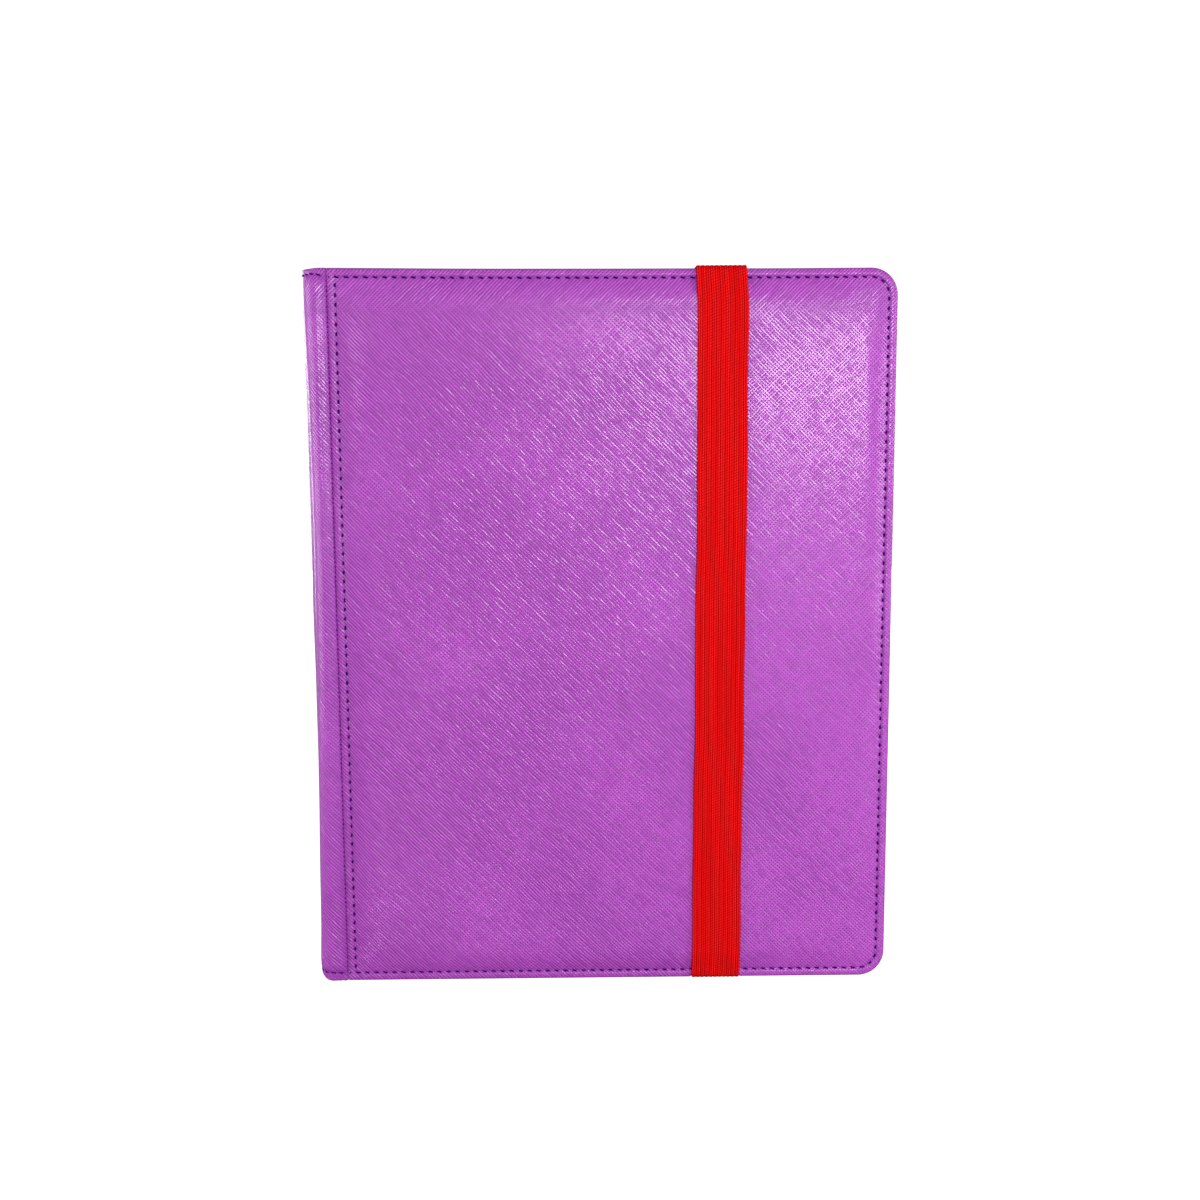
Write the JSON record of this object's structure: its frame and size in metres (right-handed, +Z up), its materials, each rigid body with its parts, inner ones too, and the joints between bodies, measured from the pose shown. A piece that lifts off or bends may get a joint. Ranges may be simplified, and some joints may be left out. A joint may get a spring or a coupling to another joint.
{
  "type": "trading card binder",
  "caption": "Zipless padded card binder with stitched covers, a rolled spine, side-loading pocket leaves and a vertical elastic strap.",
  "frame": {"origin": "centre of the closed binder's bounding box at its bottom edge, which it stands on", "axes": "+Z up along the spine, +Y from the front cover to the back cover, +X from the spine to the fore edge"},
  "size_m": [0.262, 0.0344, 0.3265],
  "materials": {
    "leatherette": "purple cross-hatch grained leatherette",
    "thread": "dark purple sewing thread",
    "foam": "soft closed-cell padding sheet",
    "board": "solid grey board",
    "lining": "black woven lining",
    "pocket_film": "clear pocket film on a black core sheet",
    "elastic": "red ribbed woven elastic"
  },
  "bodies": {
    "back_cover": {"back_skin": "leatherette", "back_foam": "foam", "back_board": "board", "back_lining": "lining", "back_edge_stitching": "thread", "back_hinge_stitching": "thread", "back_hinge": "leatherette", "strap_tail_top": "elastic", "strap_tail_bottom": "elastic"},
    "spine": {"spine_skin": "leatherette", "spine_foam": "foam", "spine_board": "board", "spine_lining": "lining", "page_binding": "lining", "binding_stitching_front": "thread", "binding_stitching_back": "thread"},
    "front_cover": {"front_skin": "leatherette", "front_foam": "foam", "front_board": "board", "front_lining": "lining", "front_edge_stitching": "thread", "front_hinge_stitching": "thread", "front_hinge": "leatherette"},
    "page_01": {"leaf_01": "pocket_film"},
    "page_02": {"leaf_02": "pocket_film"},
    "page_03": {"leaf_03": "pocket_film"},
    "page_04": {"leaf_04": "pocket_film"},
    "page_05": {"leaf_05": "pocket_film"},
    "page_06": {"leaf_06": "pocket_film"},
    "page_07": {"leaf_07": "pocket_film"},
    "page_08": {"leaf_08": "pocket_film"},
    "page_09": {"leaf_09": "pocket_film"},
    "page_10": {"leaf_10": "pocket_film"},
    "page_11": {"leaf_11": "pocket_film"},
    "page_12": {"leaf_12": "pocket_film"},
    "page_13": {"leaf_13": "pocket_film"},
    "page_14": {"leaf_14": "pocket_film"},
    "page_15": {"leaf_15": "pocket_film"},
    "page_16": {"leaf_16": "pocket_film"},
    "page_17": {"leaf_17": "pocket_film"},
    "page_18": {"leaf_18": "pocket_film"},
    "page_19": {"leaf_19": "pocket_film"},
    "page_20": {"leaf_20": "pocket_film"},
    "strap": {"elastic_strap": "elastic"}
  },
  "joints": [
    {"name": "spine_fold", "type": "hinge", "parent": "back_cover", "child": "spine", "pos_m": [-0.1287, 0.01495, 0.1625], "axis": [0, 0, -1], "range_deg": [0, 90], "deforming": ["back_hinge"]},
    {"name": "cover_fold", "type": "hinge", "parent": "spine", "child": "front_cover", "pos_m": [-0.1287, -0.01345, 0.1625], "axis": [0, 0, -1], "range_deg": [0, 90], "deforming": ["front_hinge"]},
    {"name": "page_turn_01", "type": "hinge", "parent": "spine", "child": "page_01", "pos_m": [-0.122, -0.00923, 0.1625], "axis": [0, 0, -1], "range_deg": [0, 76.55]},
    {"name": "page_turn_02", "type": "hinge", "parent": "spine", "child": "page_02", "pos_m": [-0.122, -0.00817, 0.1625], "axis": [0, 0, -1], "range_deg": [0, 68.49]},
    {"name": "page_turn_03", "type": "hinge", "parent": "spine", "child": "page_03", "pos_m": [-0.122, -0.00713, 0.1625], "axis": [0, 0, -1], "range_deg": [0, 60.45]},
    {"name": "page_turn_04", "type": "hinge", "parent": "spine", "child": "page_04", "pos_m": [-0.122, -0.00607, 0.1625], "axis": [0, 0, -1], "range_deg": [0, 52.39]},
    {"name": "page_turn_05", "type": "hinge", "parent": "spine", "child": "page_05", "pos_m": [-0.122, -0.00502, 0.1625], "axis": [0, 0, -1], "range_deg": [0, 44.34]},
    {"name": "page_turn_06", "type": "hinge", "parent": "spine", "child": "page_06", "pos_m": [-0.122, -0.00398, 0.1625], "axis": [0, 0, -1], "range_deg": [0, 36.28]},
    {"name": "page_turn_07", "type": "hinge", "parent": "spine", "child": "page_07", "pos_m": [-0.122, -0.00293, 0.1625], "axis": [0, 0, -1], "range_deg": [0, 28.24]},
    {"name": "page_turn_08", "type": "hinge", "parent": "spine", "child": "page_08", "pos_m": [-0.122, -0.00187, 0.1625], "axis": [0, 0, -1], "range_deg": [0, 20.18]},
    {"name": "page_turn_09", "type": "hinge", "parent": "spine", "child": "page_09", "pos_m": [-0.122, -0.00082, 0.1625], "axis": [0, 0, -1], "range_deg": [0, 12.13]},
    {"name": "page_turn_10", "type": "hinge", "parent": "spine", "child": "page_10", "pos_m": [-0.122, 0.00022, 0.1625], "axis": [0, 0, -1], "range_deg": [0, 4.07]},
    {"name": "page_turn_11", "type": "hinge", "parent": "spine", "child": "page_11", "pos_m": [-0.122, 0.00128, 0.1625], "axis": [0, 0, -1], "range_deg": [-4.07, 0]},
    {"name": "page_turn_12", "type": "hinge", "parent": "spine", "child": "page_12", "pos_m": [-0.122, 0.00232, 0.1625], "axis": [0, 0, -1], "range_deg": [-12.13, 0]},
    {"name": "page_turn_13", "type": "hinge", "parent": "spine", "child": "page_13", "pos_m": [-0.122, 0.00337, 0.1625], "axis": [0, 0, -1], "range_deg": [-20.18, 0]},
    {"name": "page_turn_14", "type": "hinge", "parent": "spine", "child": "page_14", "pos_m": [-0.122, 0.00443, 0.1625], "axis": [0, 0, -1], "range_deg": [-28.24, 0]},
    {"name": "page_turn_15", "type": "hinge", "parent": "spine", "child": "page_15", "pos_m": [-0.122, 0.00547, 0.1625], "axis": [0, 0, -1], "range_deg": [-36.28, 0]},
    {"name": "page_turn_16", "type": "hinge", "parent": "spine", "child": "page_16", "pos_m": [-0.122, 0.00653, 0.1625], "axis": [0, 0, -1], "range_deg": [-44.34, 0]},
    {"name": "page_turn_17", "type": "hinge", "parent": "spine", "child": "page_17", "pos_m": [-0.122, 0.00758, 0.1625], "axis": [0, 0, -1], "range_deg": [-52.39, 0]},
    {"name": "page_turn_18", "type": "hinge", "parent": "spine", "child": "page_18", "pos_m": [-0.122, 0.00863, 0.1625], "axis": [0, 0, -1], "range_deg": [-60.45, 0]},
    {"name": "page_turn_19", "type": "hinge", "parent": "spine", "child": "page_19", "pos_m": [-0.122, 0.00967, 0.1625], "axis": [0, 0, -1], "range_deg": [-68.49, 0]},
    {"name": "page_turn_20", "type": "hinge", "parent": "spine", "child": "page_20", "pos_m": [-0.122, 0.01073, 0.1625], "axis": [0, 0, -1], "range_deg": [-76.55, 0]},
    {"name": "strap_release", "type": "slide", "parent": "back_cover", "child": "strap", "axis": [0, 1, 0], "range_m": [0, 0.03481], "deforming": ["elastic_strap"]}
  ],
  "couplings": [
    {"joint": "cover_fold", "follows": "spine_fold", "ratio": 1},
    {"joint": "page_turn_01", "follows": "spine_fold", "ratio": 0.85},
    {"joint": "page_turn_02", "follows": "spine_fold", "ratio": 0.7605},
    {"joint": "page_turn_03", "follows": "spine_fold", "ratio": 0.6711},
    {"joint": "page_turn_04", "follows": "spine_fold", "ratio": 0.5816},
    {"joint": "page_turn_05", "follows": "spine_fold", "ratio": 0.4921},
    {"joint": "page_turn_06", "follows": "spine_fold", "ratio": 0.4026},
    {"joint": "page_turn_07", "follows": "spine_fold", "ratio": 0.3132},
    {"joint": "page_turn_08", "follows": "spine_fold", "ratio": 0.2237},
    {"joint": "page_turn_09", "follows": "spine_fold", "ratio": 0.1342},
    {"joint": "page_turn_10", "follows": "spine_fold", "ratio": 0.0447},
    {"joint": "page_turn_11", "follows": "spine_fold", "ratio": -0.0447},
    {"joint": "page_turn_12", "follows": "spine_fold", "ratio": -0.1342},
    {"joint": "page_turn_13", "follows": "spine_fold", "ratio": -0.2237},
    {"joint": "page_turn_14", "follows": "spine_fold", "ratio": -0.3132},
    {"joint": "page_turn_15", "follows": "spine_fold", "ratio": -0.4026},
    {"joint": "page_turn_16", "follows": "spine_fold", "ratio": -0.4921},
    {"joint": "page_turn_17", "follows": "spine_fold", "ratio": -0.5816},
    {"joint": "page_turn_18", "follows": "spine_fold", "ratio": -0.6711},
    {"joint": "page_turn_19", "follows": "spine_fold", "ratio": -0.7605},
    {"joint": "page_turn_20", "follows": "spine_fold", "ratio": -0.85},
    {"joint": "strap_release", "follows": "spine_fold", "m_per_rad": 0.022154}
  ]
}
